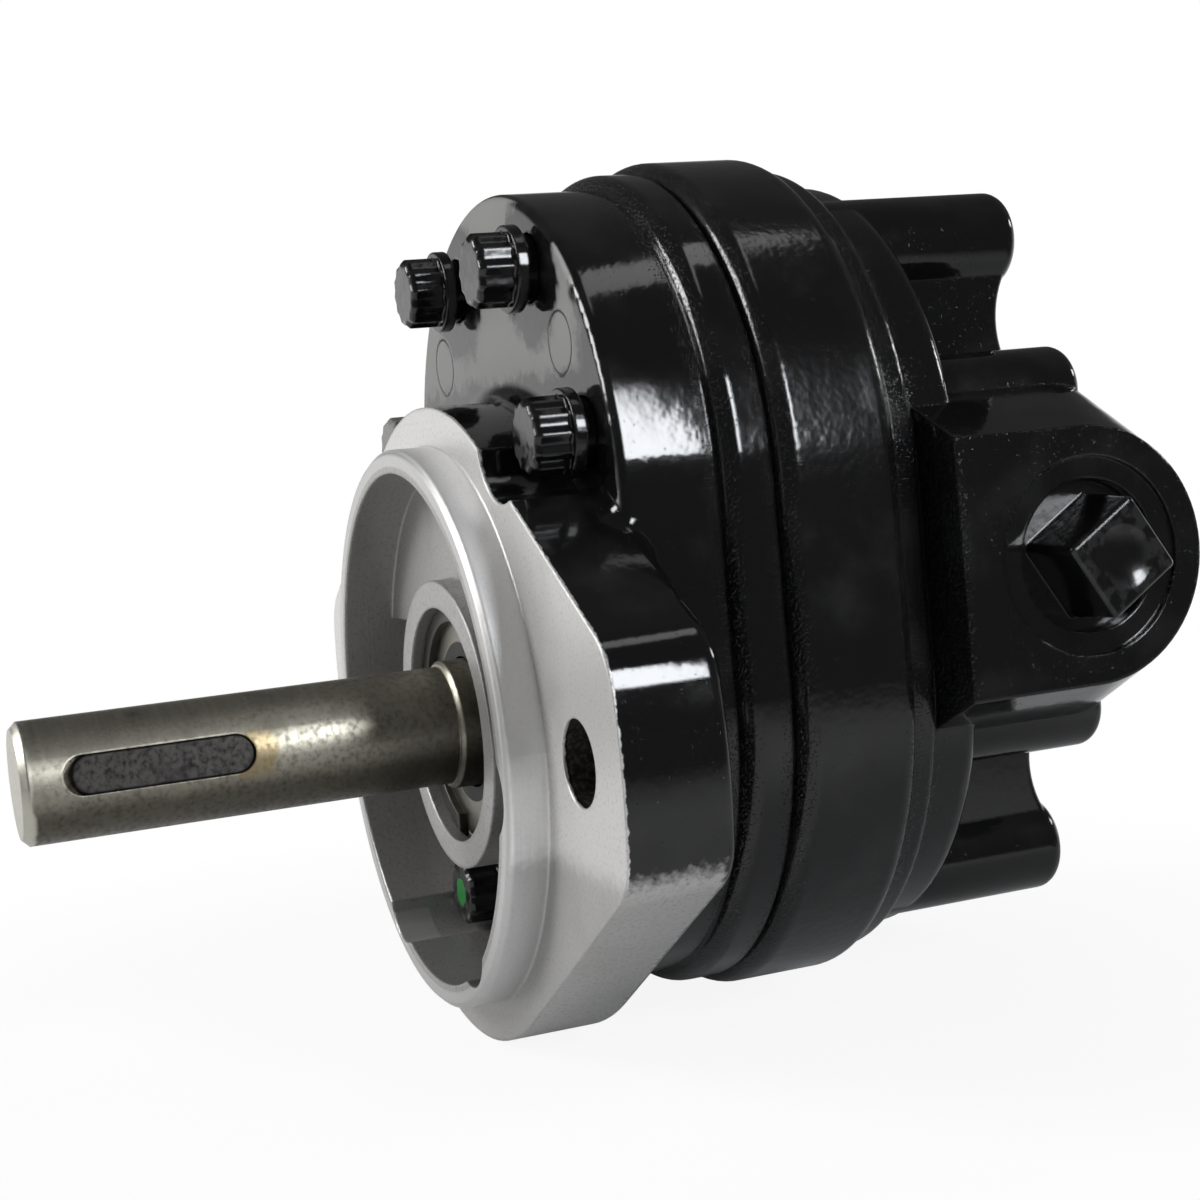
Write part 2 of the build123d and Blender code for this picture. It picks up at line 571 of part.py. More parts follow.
plug_face_x = PORT_FACE_X - PLUG_RECESS
plug_end_x = plug_face_x - PLUG_LENGTH
plug = bar_x(PORT_THREAD_DIAMETER / 2, plug_face_x, plug_end_x, PORT_Y, BODY_CENTRE_Z)
square_plane = Plane(origin=(plug_face_x - 1.0, PORT_Y, BODY_CENTRE_Z), x_dir=(0, 1, 0), z_dir=(1, 0, 0))
square = Rot(0, 0, PLUG_TURN) * RectangleRounded(PLUG_SQUARE, PLUG_SQUARE, PLUG_SQUARE_ROUNDING)
square_head = extrude(square_plane * square, amount=PLUG_SQUARE_HEIGHT + 1.0, taper=2.5)
square_head = chamfer(square_head.faces().sort_by(Axis.X)[-1].edges(), 0.4)
plug += square_head
head_top_x = plug_face_x + PLUG_SQUARE_HEIGHT
dish_radius = (PLUG_DISH_DIAMETER**2 / 4 + PLUG_DISH_DEPTH**2) / (2 * PLUG_DISH_DEPTH)
dish_centre_x = head_top_x - PLUG_DISH_DEPTH + dish_radius
plug -= Pos(dish_centre_x, PORT_Y, BODY_CENTRE_Z) * Sphere(dish_radius)
port_plug = one_solid(plug)

# --------------------------------------------------------------------- export
nodes = {
    "front_cover": front_cover,
    "gear_plate": gear_plate,
    "back_plate": back_plate,
    "drive_shaft": drive_shaft,
    "drive_gear": drive_gear,
    "gear_key": gear_key,
    "idler_shaft": idler_shaft,
    "idler_gear": idler_gear,
    "shaft_key": shaft_key,
    "drive_front_bushing": drive_front_bushing,
    "drive_rear_bushing": drive_rear_bushing,
    "idler_front_bushing": idler_front_bushing,
    "idler_rear_bushing": idler_rear_bushing,
    "pressure_plate": pressure_plate,
    "front_body_seal": body_seal_front,
    "rear_body_seal": body_seal_rear,
    "shaft_seal_case": seal_case,
    "shaft_seal_lip": seal_lip,
    "seal_garter_spring": garter_spring,
    "seal_retaining_ring": retaining_ring,
    "cap_screws": cap_screws,
    "dowel_pins": dowel_pins,
    "port_plug": port_plug,
}
for name, shape in nodes.items():
    export_step(shape, f"parts/{name}.step")
print(len(nodes), "nodes")
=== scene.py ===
# %% [markdown]
# # A hydraulic gear pump, dressed for its portrait
# The solids come from a CAD model: castings, shafts, gears, screws and seals, each where it
# belongs. This lesson leaves those shapes alone and gives every one of them a finish. The pump
# is painted in gloss black enamel, sprayed over the assembled castings while the mounting
# face was masked, so one casting carries both thick paint and bare machined iron. Most of the
# lesson is about telling those two apart with masks made from the piece's own coordinates.

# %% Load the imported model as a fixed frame
import json
from math import cos, pi, radians, sin

import bpy
from mathutils import Matrix, Vector

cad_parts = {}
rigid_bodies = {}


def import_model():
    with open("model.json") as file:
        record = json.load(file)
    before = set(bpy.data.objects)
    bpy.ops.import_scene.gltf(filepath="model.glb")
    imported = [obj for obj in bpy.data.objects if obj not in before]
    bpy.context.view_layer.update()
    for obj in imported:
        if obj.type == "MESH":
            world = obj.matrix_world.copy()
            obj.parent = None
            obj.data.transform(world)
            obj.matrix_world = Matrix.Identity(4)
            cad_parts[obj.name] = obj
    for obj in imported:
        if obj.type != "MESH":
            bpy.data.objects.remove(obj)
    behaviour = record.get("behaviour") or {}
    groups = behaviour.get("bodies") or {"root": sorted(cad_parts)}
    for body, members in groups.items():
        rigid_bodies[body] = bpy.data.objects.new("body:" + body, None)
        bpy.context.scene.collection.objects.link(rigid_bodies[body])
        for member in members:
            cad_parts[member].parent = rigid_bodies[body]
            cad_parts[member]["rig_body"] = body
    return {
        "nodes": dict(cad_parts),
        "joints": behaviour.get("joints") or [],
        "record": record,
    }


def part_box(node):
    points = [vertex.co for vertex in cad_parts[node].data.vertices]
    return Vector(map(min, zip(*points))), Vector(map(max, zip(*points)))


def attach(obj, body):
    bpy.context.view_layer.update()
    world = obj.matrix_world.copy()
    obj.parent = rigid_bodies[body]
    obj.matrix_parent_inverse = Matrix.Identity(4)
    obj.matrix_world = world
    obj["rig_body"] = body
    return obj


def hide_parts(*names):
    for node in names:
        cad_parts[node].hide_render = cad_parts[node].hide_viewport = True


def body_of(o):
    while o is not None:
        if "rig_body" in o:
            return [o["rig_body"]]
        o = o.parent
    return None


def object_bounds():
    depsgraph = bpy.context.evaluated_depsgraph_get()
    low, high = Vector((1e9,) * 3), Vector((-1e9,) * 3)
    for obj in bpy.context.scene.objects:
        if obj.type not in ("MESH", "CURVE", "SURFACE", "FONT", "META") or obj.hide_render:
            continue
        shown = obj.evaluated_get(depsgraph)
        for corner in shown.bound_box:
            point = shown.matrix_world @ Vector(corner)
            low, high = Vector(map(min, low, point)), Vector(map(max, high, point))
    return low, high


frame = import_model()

cad_low, cad_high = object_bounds()
print("CAD box in mm:", [round(1000 * v, 1) for v in (cad_high - cad_low)])
MM = 0.001

# %% [markdown]
# ## Where the features are
# A mask needs to know where the pilot ends or where the cover's face lies. Most of those places
# are read from the model's record and from the pieces' boxes, so they follow when a size there
# changes. A few heights that no box gives are typed further down, beside their mask.

# %% Read the mounts and boxes that the masks follow
mounts = {mount["name"]: mount for mount in frame["record"]["mounts"]}
pilot_radius = mounts["pilot"]["dims"]["r_mm"] * MM
pattern = mounts["flange_holes"]["dims"]
hole_radius = pattern["hole_r_mm"] * MM
hole_places = [Vector((side * pattern["spacing_x_mm"] / 2 * MM, 0, 0)) for side in (-1, 1)]
key_low, key_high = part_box("shaft_key")
key_end = Vector((key_high.x, key_high.y, (key_low.z + key_high.z) / 2))
screws_low, screws_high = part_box("cap_screws")
shaft_low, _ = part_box("drive_shaft")
dowels_low, dowels_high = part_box("dowel_pins")
plate_low, plate_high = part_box("gear_plate")
_, plug_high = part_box("port_plug")
cover_face_y = dowels_low.y
print("pilot radius", round(pilot_radius / MM, 2), "mm; cover face at y", round(cover_face_y / MM, 2), "mm")

# %% Where the eight screws stand
gear_axes = [Vector(joint["pos_m"]) for joint in frame["joints"]]
centre_distance = abs(gear_axes[1].z - gear_axes[0].z)
FLANGE_RADIUS = 6.2 * MM
RING_ANGLES = (9.0, 60.0, 120.0, 171.0)
ring_radius = (screws_high.x - FLANGE_RADIUS) / cos(radians(RING_ANGLES[0]))
stations = []
for angle in RING_ANGLES:
    across, up_from_axis = ring_radius * cos(radians(angle)), ring_radius * sin(radians(angle))
    stations.append((across, screws_low.y, centre_distance + up_from_axis))
    stations.append((across, screws_low.y, -up_from_axis))
unpainted_screw = stations[6]
print("screws:", len(stations), "on rings of", round(ring_radius / MM, 2), "mm")

# %% [markdown]
# ## Short words for node trees
# Node trees read badly in code because every link takes a line of its own. A few helpers make
# them short: one adds a node, one feeds a socket with a number or with another node's output,
# one writes arithmetic, and the rest name the steps that the finishes use most.

# %% Helpers that add, feed and combine nodes
def add_node(tree, kind, **settings):
    node = tree.nodes.new(kind)
    for name, value in settings.items():
        setattr(node, name, value)
    return node


def feed(tree, socket, value):
    if isinstance(value, bpy.types.NodeSocket):
        tree.links.new(value, socket)
    else:
        socket.default_value = value


def calculate(tree, operation, first, second=0.0, third=0.0):
    node = add_node(tree, "ShaderNodeMath", operation=operation)
    feed(tree, node.inputs[0], first)
    feed(tree, node.inputs[1], second)
    feed(tree, node.inputs[2], third)
    return node.outputs[0]


def smooth_step(tree, value, low, high):
    node = add_node(tree, "ShaderNodeMapRange", interpolation_type="SMOOTHSTEP")
    feed(tree, node.inputs["Value"], value)
    feed(tree, node.inputs["From Min"], low)
    feed(tree, node.inputs["From Max"], high)
    return node.outputs["Result"]


# %% Words for the sums that the masks use
def times(tree, first, second):
    return calculate(tree, "MULTIPLY", first, second)


def largest(tree, first, second):
    return calculate(tree, "MAXIMUM", first, second)


def pushed(tree, push, amount, value):
    """The value with some of another one added, as when noise makes an edge ragged."""
    return calculate(tree, "MULTIPLY_ADD", push, amount, value)


def away_from(tree, value, level):
    return calculate(tree, "ABSOLUTE", calculate(tree, "SUBTRACT", value, level))


def split(tree, place):
    parts = add_node(tree, "ShaderNodeSeparateXYZ")
    feed(tree, parts.inputs[0], place)
    return parts.outputs


# %% Mixing two finishes, noise, and the distance from a point
def mix_colours(tree, mask, first, second):
    node = add_node(tree, "ShaderNodeMix", data_type="RGBA")
    feed(tree, node.inputs[0], mask)
    feed(tree, node.inputs[6], first if isinstance(first, bpy.types.NodeSocket) else (*first, 1.0))
    feed(tree, node.inputs[7], second if isinstance(second, bpy.types.NodeSocket) else (*second, 1.0))
    return node.outputs[2]


def mix_numbers(tree, mask, first, second):
    node = add_node(tree, "ShaderNodeMix", data_type="FLOAT")
    feed(tree, node.inputs[0], mask)
    feed(tree, node.inputs[2], first)
    feed(tree, node.inputs[3], second)
    return node.outputs[0]


def noise(tree, place, size, detail=2.0):
    node = add_node(tree, "ShaderNodeTexNoise")
    feed(tree, node.inputs["Vector"], place)
    node.inputs["Scale"].default_value = 1.0 / size
    node.inputs["Detail"].default_value = detail
    return node.outputs["Fac"]


def distance_from(tree, place, point):
    node = add_node(tree, "ShaderNodeVectorMath", operation="DISTANCE")
    feed(tree, node.inputs[0], place)
    node.inputs[1].default_value = point
    return node.outputs["Value"]


# %% [markdown]
# ## Effects that several finishes share
# Paint, machined iron and turned steel differ, yet each needs the same few effects: worn
# edges, tool marks, blotches and the skin of a sand casting. Each is built once as a node
# group with named sockets. A group hands out only masks, heights and normals, and the shader
# that uses them stays in the material.

# %% A helper that starts a group with its sockets
def start_group(name, inputs, outputs):
    tree = bpy.data.node_groups.new(name, "ShaderNodeTree")
    for socket_name, kind, value in inputs:
        socket = tree.interface.new_socket(socket_name, in_out="INPUT", socket_type=kind)
        if value is not None:
            socket.default_value = value
    for socket_name, kind in outputs:
        tree.interface.new_socket(socket_name, in_out="OUTPUT", socket_type=kind)
    return tree, add_node(tree, "NodeGroupInput"), add_node(tree, "NodeGroupOutput")


def use_group(tree, group, **values):
    node = add_node(tree, "ShaderNodeGroup", node_tree=group)
    for name, value in values.items():
        feed(tree, node.inputs[name.replace("_", " ")], value)
    return node


NUMBER, VECTOR = "NodeSocketFloat", "NodeSocketVector"

# %% [markdown]
# A rounded edge catches a thin line of light, and it is the first place to lose its paint.
# The Bevel node gives the normal that the edge would have if it were rounded. Where that
# normal leaves the true one, there is an edge, so one node gives the highlight and the mask.

# %% Soft edges: a rounded normal and an edge mask
SAME_NORMAL, ROUNDED_NORMAL = 0.995, 0.90
soft_edge, given, result = start_group(
    "soft edge", [("Radius", NUMBER, 0.0006)], [("Mask", NUMBER), ("Normal", VECTOR)])
bevel = add_node(soft_edge, "ShaderNodeBevel", samples=6)
feed(soft_edge, bevel.inputs["Radius"], given.outputs["Radius"])
surface = add_node(soft_edge, "ShaderNodeNewGeometry")
agreement = add_node(soft_edge, "ShaderNodeVectorMath", operation="DOT_PRODUCT")
feed(soft_edge, agreement.inputs[0], bevel.outputs["Normal"])
feed(soft_edge, agreement.inputs[1], surface.outputs["Normal"])
edge_amount = smooth_step(soft_edge, agreement.outputs["Value"], SAME_NORMAL, ROUNDED_NORMAL)
feed(soft_edge, result.inputs["Mask"], edge_amount)
feed(soft_edge, result.inputs["Normal"], bevel.outputs["Normal"])

# %% [markdown]
# Enamel sprayed on a sand casting has two skins: the sand's slow waves, and the fine dimples
# of the paint, called orange peel. Both are heights, added before one Bump node.

# %% Casting skin: slow waves plus orange peel
casting_skin, given, result = start_group(
    "casting skin",
    [("Place", VECTOR, None), ("Peel Depth", NUMBER, 0.5), ("Wave Depth", NUMBER, 1.0)],
    [("Height", NUMBER)])
peel = noise(casting_skin, given.outputs["Place"], 1.5 * MM, 1.0)
wave = noise(casting_skin, given.outputs["Place"], 7.0 * MM, 2.0)
peel_height = calculate(casting_skin, "MULTIPLY", peel, given.outputs["Peel Depth"])
wave_height = calculate(casting_skin, "MULTIPLY", wave, given.outputs["Wave Depth"])
feed(casting_skin, result.inputs["Height"], calculate(casting_skin, "ADD", peel_height, wave_height))

# %% [markdown]
# A lathe leaves rings. They run round the shaft axis, here Y, so the pattern depends on the
# distance from that axis and on Y, and hardly on the angle.

# %% Turned marks: fine rings round the shaft axis
SLOW_CHANGE_ACROSS = 90.0
turned_marks, given, result = start_group(
    "turned marks", [("Place", VECTOR, None), ("Pitch", NUMBER, 0.0004)], [("Value", NUMBER)])
apart = add_node(turned_marks, "ShaderNodeSeparateXYZ")
feed(turned_marks, apart.inputs[0], given.outputs["Place"])
square = calculate(turned_marks, "MULTIPLY", apart.outputs["X"], apart.outputs["X"])
reach = calculate(turned_marks, "SQRT", calculate(
    turned_marks, "MULTIPLY_ADD", apart.outputs["Z"], apart.outputs["Z"], square))
ring_place = add_node(turned_marks, "ShaderNodeCombineXYZ")
pitch = given.outputs["Pitch"]
feed(turned_marks, ring_place.inputs["X"], calculate(turned_marks, "DIVIDE", reach, pitch))
feed(turned_marks, ring_place.inputs["Y"], calculate(turned_marks, "DIVIDE", apart.outputs["Y"], pitch))
feed(turned_marks, ring_place.inputs["Z"], times(turned_marks, apart.outputs["X"], SLOW_CHANGE_ACROSS))
ring_noise = add_node(turned_marks, "ShaderNodeTexNoise")
feed(turned_marks, ring_noise.inputs["Vector"], ring_place.outputs[0])
ring_noise.inputs["Scale"].default_value = 1.0
feed(turned_marks, result.inputs["Value"], ring_noise.outputs["Fac"])

# %% [markdown]
# Stains, pits and rubbed paint are all patches where a noise rises above a level. The level
# sets how much they cover, and the softness sets how slowly their edges fade.

# %% Blotches: soft-edged stains of a chosen size and cover
blotches, given, result = start_group(
    "blotches",
    [("Place", VECTOR, None), ("Size", NUMBER, 0.006),
     ("Cover", NUMBER, 0.5), ("Softness", NUMBER, 0.1)],
    [("Mask", NUMBER)])
blotch_noise = add_node(blotches, "ShaderNodeTexNoise")
feed(blotches, blotch_noise.inputs["Vector"], given.outputs["Place"])
feed(blotches, blotch_noise.inputs["Scale"], calculate(blotches, "DIVIDE", 1.0, given.outputs["Size"]))
blotch_noise.inputs["Detail"].default_value = 4.0
start = calculate(blotches, "SUBTRACT", 1.0, given.outputs["Cover"])
end = calculate(blotches, "ADD", start, given.outputs["Softness"])
feed(blotches, result.inputs["Mask"], smooth_step(blotches, blotch_noise.outputs["Fac"], start, end))
print("shared effects:", [group.name for group in bpy.data.node_groups])

# %% Helpers that start a material, stain it and end it in one shader
def start_material(name):
    material = bpy.data.materials.new(name)
    material.use_nodes = True
    tree = material.node_tree
    shader = tree.nodes["Principled BSDF"]
    place = add_node(tree, "ShaderNodeTexCoord").outputs["Object"]
    return material, tree, shader, place


def finish_normal(tree, shader, height, depth, soft=None):
    bump = add_node(tree, "ShaderNodeBump")
    bump.inputs["Distance"].default_value = depth
    bump.inputs["Strength"].default_value = 1.0
    feed(tree, bump.inputs["Height"], height)
    if soft is not None:
        feed(tree, bump.inputs["Normal"], soft.outputs["Normal"])
    feed(tree, shader.inputs["Normal"], bump.outputs["Normal"])


def stains(tree, place, size, cover, softness):
    group = use_group(tree, blotches, Place=place, Size=size, Cover=cover, Softness=softness)
    return group.outputs["Mask"]


# %% [markdown]
# ## The castings
# The three castings share one gloss black enamel. Under it the sand has left grains: a few on
# the open faces, and many along the edges and the joints, where nobody brushed them off. The
# middle casting is sandier than the others, so its gloss is duller.

# %% Enamel on a sand casting
ENAMEL, DUSTY_ENAMEL = (0.004, 0.004, 0.0043), (0.009, 0.009, 0.009)
ENAMEL_SPECULAR = 0.45
RIM_THICKNESS, BACK_RIM_THICKNESS = 7.5 * MM, 4.0 * MM
GRAIN_SIZE, PATCH_SIZE, SEAM_REACH = 0.42 * MM, 8 * MM, 3.2 * MM
GRAIN_START, GRAIN_FULL = 0.785, 0.865
seams = (plate_low.y, plate_high.y, plate_low.y - RIM_THICKNESS, plate_high.y + BACK_RIM_THICKNESS)


def sand_grains(tree, place, edges):
    y = split(tree, place)["Y"]
    crowd = edges
    for seam in seams:
        near_seam = smooth_step(tree, away_from(tree, y, seam), SEAM_REACH, 0.4 * MM)
        crowd = largest(tree, crowd, near_seam)
    patchy = pushed(tree, noise(tree, place, PATCH_SIZE), 0.16, noise(tree, place, GRAIN_SIZE))
    return smooth_step(tree, pushed(tree, crowd, 0.19, patchy), GRAIN_START, GRAIN_FULL)


def sprayed_enamel(tree, place, smooth=0.07, dull=0.13, peel=0.16):
    """Colour, roughness and height of the paint, and the soft edge under it."""
    soft = use_group(tree, soft_edge, Radius=0.7 * MM)
    skin = use_group(tree, casting_skin, Place=place, Peel_Depth=peel, Wave_Depth=0.45)
    grime = stains(tree, place, 11 * MM, 0.52, 0.25)
    colour = mix_colours(tree, grime, ENAMEL, DUSTY_ENAMEL)
    rough = mix_numbers(tree, grime, smooth, dull)
    height = pushed(tree, sand_grains(tree, place, soft.outputs["Mask"]), 1.2, skin.outputs["Height"])
    return colour, rough, height, soft


def finish_paint(tree, shader, colour, rough, height, soft, depth=0.08 * MM):
    feed(tree, shader.inputs["Base Color"], colour)
    feed(tree, shader.inputs["Roughness"], rough)
    shader.inputs["Specular IOR Level"].default_value = ENAMEL_SPECULAR
    finish_normal(tree, shader, height, depth, soft)


def painted_casting(name, **paint):
    material, tree, shader, place = start_material(name)
    finish_paint(tree, shader, *sprayed_enamel(tree, place, **paint))
    return material


body_enamel = painted_casting("body enamel")
sandy_enamel = painted_casting("sandy plate enamel", smooth=0.13, dull=0.2, peel=0.5)
print("painted castings:", body_enamel.name, "and", sandy_enamel.name)

# %% [markdown]
# ## Where the front cover stayed bare
# A mask keeps the enamel off what the lathe cut: the flange face, all in front of it, and the
# lower tangent sides of the flange, with a ragged spray edge behind. The raised face above the
# flange is a thin matt grey, but for a black cloud of spray round each of its two top screws.
# Each area is a mask of its own, so each rule stays short.

# %% Where the lathe cut and the tape lay
SPRAY_EDGE, LOW_SIDE_TOP, FLANGE_BACK = 0.85 * MM, -10 * MM, 14.6 * MM
GREY_ABOVE, GREY_BESIDE, SPRAY_REACH = 52.5 * MM, 40 * MM, 13.5 * MM
CLOUD_SIZE, CLOUD_SPREAD = 3.5 * MM, 7 * MM


def bare_areas(tree, place):
    """What has no paint, then its parts inside the pilot and on the low sides, and the radius."""
    x, y, z = split(tree, place)
    ragged = noise(tree, place, 1.1 * MM, 4.0)
    front = smooth_step(tree, pushed(tree, ragged, 0.8 * MM, y), SPRAY_EDGE, SPRAY_EDGE - 0.25 * MM)
    low_side = smooth_step(tree, pushed(tree, ragged, 4 * MM, z), LOW_SIDE_TOP, LOW_SIDE_TOP - 4 * MM)
    before_back = smooth_step(tree, pushed(tree, ragged, 1.5 * MM, y), FLANGE_BACK, FLANGE_BACK - 1.2 * MM)
    side = times(tree, low_side, before_back)
    reach = calculate(tree, "SQRT", pushed(tree, z, z, times(tree, x, x)))
    in_pilot = smooth_step(tree, reach, pilot_radius, pilot_radius - 0.5 * MM)
    bare = largest(tree, largest(tree, front, in_pilot), side)
    return bare, in_pilot, side, reach


def taped_area(tree, place):
    x, y, z = split(tree, place)
    cloud = noise(tree, place, CLOUD_SIZE, 5.0)
    on_face = smooth_step(tree, away_from(tree, y, cover_face_y), 0.5 * MM, 0.2 * MM)
    above = smooth_step(tree, pushed(tree, cloud, CLOUD_SPREAD, z), GREY_ABOVE, GREY_ABOVE + 2 * MM)
    beside = smooth_step(tree, pushed(tree, cloud, 10 * MM, x), GREY_BESIDE, GREY_BESIDE - 4 * MM)
    top_screws = (stations[2], stations[4])
    gaps = [distance_from(tree, place, (screw[0], cover_face_y, screw[2])) for screw in top_screws]
    nearest = calculate(tree, "MINIMUM", gaps[0], gaps[1])
    unsprayed = pushed(tree, cloud, CLOUD_SPREAD, nearest)
    clear = smooth_step(tree, unsprayed, SPRAY_REACH, SPRAY_REACH + 2.5 * MM)
    return times(tree, times(tree, on_face, above), times(tree, clear, beside))


print("grey face above z", GREY_ABOVE / MM, "mm, sprayed within", SPRAY_REACH / MM, "mm of its two screws")


# %% Round the dowels and inside the bolt holes
# The dark ring round each dowel end is painted shade, in the crease where the pin meets the face.
def dowel_crease_shade(tree, place):
    radius = (dowels_high.z - dowels_low.z) / 2
    crease_shade = 0.0
    for side in (-1, 1):
        centre = (side * (dowels_high.x - radius), cover_face_y, (dowels_high.z + dowels_low.z) / 2)
        gap = distance_from(tree, place, centre)
        ring = smooth_step(tree, gap, radius - 0.45 * MM, radius - 0.2 * MM)
        near = smooth_step(tree, gap, radius + 0.4 * MM, radius + 0.3 * MM)
        crease_shade = largest(tree, crease_shade, times(tree, ring, near))
    return crease_shade


def inside_bolt_holes(tree, place):
    x, y, z = split(tree, place)
    flat = add_node(tree, "ShaderNodeCombineXYZ")
    feed(tree, flat.inputs["X"], x)
    feed(tree, flat.inputs["Z"], z)
    inside = 0.0
    for hole in hole_places:
        gap = distance_from(tree, flat.outputs[0], (hole.x, 0, hole.z))
        in_this = smooth_step(tree, gap, hole_radius + 0.25 * MM, hole_radius + 0.15 * MM)
        inside = largest(tree, inside, in_this)
    return times(tree, inside, smooth_step(tree, y, 0.3 * MM, 0.9 * MM))


print("bolt holes masked:", len(hole_places))

# %% [markdown]
# Bare iron is never one grey. Tool rings, stains and open pores vary it. The pilot's rim and
# wall were turned last and are painted brightest, partly as a painted highlight. Painted shade
# darkens the hollow inside it, except at its bottom, and the flange's low sides.

# %% Machined iron
BARE_IRON, STAINED_IRON = (0.58, 0.57, 0.56), (0.46, 0.445, 0.425)
RINGED_IRON, PITTED_IRON = (0.68, 0.675, 0.665), (0.28, 0.27, 0.255)
# the brightest iron is partly a painted highlight on the pilot; the darkest is painted shade
TURNED_AND_HIGHLIT_IRON, SHADED_IRON = (0.92, 0.915, 0.91), (0.10, 0.098, 0.095)
PILOT_WALL = 2.6 * MM
HOLLOW_BOTTOM, HOLLOW_SHADE_FROM = -33 * MM, -24 * MM


def machined_iron(tree, place, speckle, in_pilot, side, reach):
    """Colour, roughness and height of the bare metal."""
    _, y, z = split(tree, place)
    marks = use_group(tree, turned_marks, Place=place, Pitch=0.35 * MM).outputs["Value"]
    iron = mix_colours(tree, stains(tree, place, 14 * MM, 0.5, 0.3), BARE_IRON, STAINED_IRON)
    iron = mix_colours(tree, times(tree, marks, 0.35), iron, RINGED_IRON)
    pits = times(tree, smooth_step(tree, speckle, 0.50, 0.72), 0.5)
    iron = mix_colours(tree, pits, iron, PITTED_IRON)
    inner_radius = pilot_radius - PILOT_WALL
    on_wall = smooth_step(tree, reach, inner_radius, inner_radius + 0.4 * MM)
    # the pilot's rim and wall: turned iron, made lighter still as a painted highlight
    turned = times(tree, on_wall, smooth_step(tree, y, 0.1 * MM, -0.2 * MM))
    iron = mix_colours(tree, times(tree, turned, 0.75), iron, TURNED_AND_HIGHLIT_IRON)
    # painted shade: darker in the pilot's hollow, except at its bottom, and on the flange's low sides
    hollow_shade = mix_numbers(tree, smooth_step(tree, z, HOLLOW_BOTTOM, HOLLOW_SHADE_FROM), 0.0, 0.40)
    painted_shade = largest(tree, times(tree, in_pilot, hollow_shade), times(tree, side, 0.4))
    iron = mix_colours(tree, painted_shade, iron, SHADED_IRON)
    rough = mix_numbers(tree, speckle, 0.30, 0.56)
    return iron, rough, pushed(tree, speckle, 0.30, times(tree, marks, 0.22))


print("pilot wall kept bright:", PILOT_WALL / MM, "mm")

# %% [markdown]
# The masks now lay one finish over the other: enamel first, then the grey face, the bare iron,
# the painted shade in the crease round each dowel, and last the bolt holes, which have begun to rust.

# %% Front cover: enamel, grey face and bare iron by their masks
TAPED_IRON = (0.20, 0.20, 0.196)
# colour of the painted shade in the crease round the dowels
DOWEL_CREASE_SHADE = (0.012, 0.012, 0.012)
DARK_RUST, LIGHT_RUST = (0.006, 0.005, 0.005), (0.045, 0.036, 0.03)


def masked_casting(name, with_crease_shade=False):
    material, tree, shader, place = start_material(name)
    colour, rough, height, soft = sprayed_enamel(tree, place)
    bare, in_pilot, side, reach = bare_areas(tree, place)
    speckle = noise(tree, place, 0.55 * MM, 4.0)
    iron, iron_rough, iron_height = machined_iron(tree, place, speckle, in_pilot, side, reach)
    taped = taped_area(tree, place)
    colour = mix_colours(tree, taped, colour, TAPED_IRON)
    rough = mix_numbers(tree, taped, rough, 0.55)
    colour = mix_colours(tree, bare, colour, iron)
    rough = mix_numbers(tree, bare, rough, iron_rough)
    if with_crease_shade:
        # painted shade in the crease round each dowel
        colour = mix_colours(tree, dowel_crease_shade(tree, place), colour, DOWEL_CREASE_SHADE)
    in_hole = inside_bolt_holes(tree, place)
    rusty = mix_colours(tree, smooth_step(tree, speckle, 0.45, 0.6), DARK_RUST, LIGHT_RUST)
    colour = mix_colours(tree, in_hole, colour, rusty)
    rough = mix_numbers(tree, in_hole, rough, 0.55)
    feed(tree, shader.inputs["Metallic"], times(tree, bare, 0.75))
    finish_paint(tree, shader, colour, rough, mix_numbers(tree, bare, height, iron_height), soft)
    return material


cover_enamel = masked_casting("masked enamel")
dowel_face = masked_casting("dowel face", with_crease_shade=True)
print("masked finishes:", cover_enamel.name, "and", dowel_face.name)

# %% [markdown]
# ## Steel and its stains
# The shaft is ground steel that has aged to a warm tint, with rust where the key end holds
# moisture. Every steel piece needs the same stains over the same turned marks, so one function
# makes them all, and the shaft asks it for a darker underside, a clean tip and a rust spot as well.

# %% Marks that only the shaft carries
# the first colour makes the shaft darker on its underside
UNDERSIDE_DARK, HANDLED_STEEL, RUST = (0.03, 0.027, 0.02), (0.46, 0.45, 0.39), (0.26, 0.18, 0.06)
RUST_REACH = 6.2 * MM


def underside_and_handling(tree, place, worn, colour, bright_before):
    """Darker on the underside, and a tip that handling keeps clean."""
    _, y, z = split(tree, place)
    # the shaft is made darker on its underside
    darker_below = smooth_step(tree, pushed(tree, worn, 1.5 * MM, z), 1.0 * MM, -4.5 * MM)
    colour = mix_colours(tree, times(tree, darker_below, 0.85), colour, UNDERSIDE_DARK)
    tip_edge = pushed(tree, worn, 0.8 * MM, y)
    handled = smooth_step(tree, tip_edge, bright_before + 0.8 * MM, bright_before)
    return mix_colours(tree, handled, colour, HANDLED_STEEL)


def rust_spot(tree, place, colour, centre):
    gap = distance_from(tree, place, centre)
    spread = pushed(tree, noise(tree, place, 2.0 * MM, 3.0), 4.0 * MM, gap)
    rust = smooth_step(tree, spread, RUST_REACH, RUST_REACH - 1.8 * MM)
    return mix_colours(tree, times(tree, rust, 0.6), colour, RUST)


print("rust round the key's end, in mm:", [round(v / MM, 1) for v in key_end])


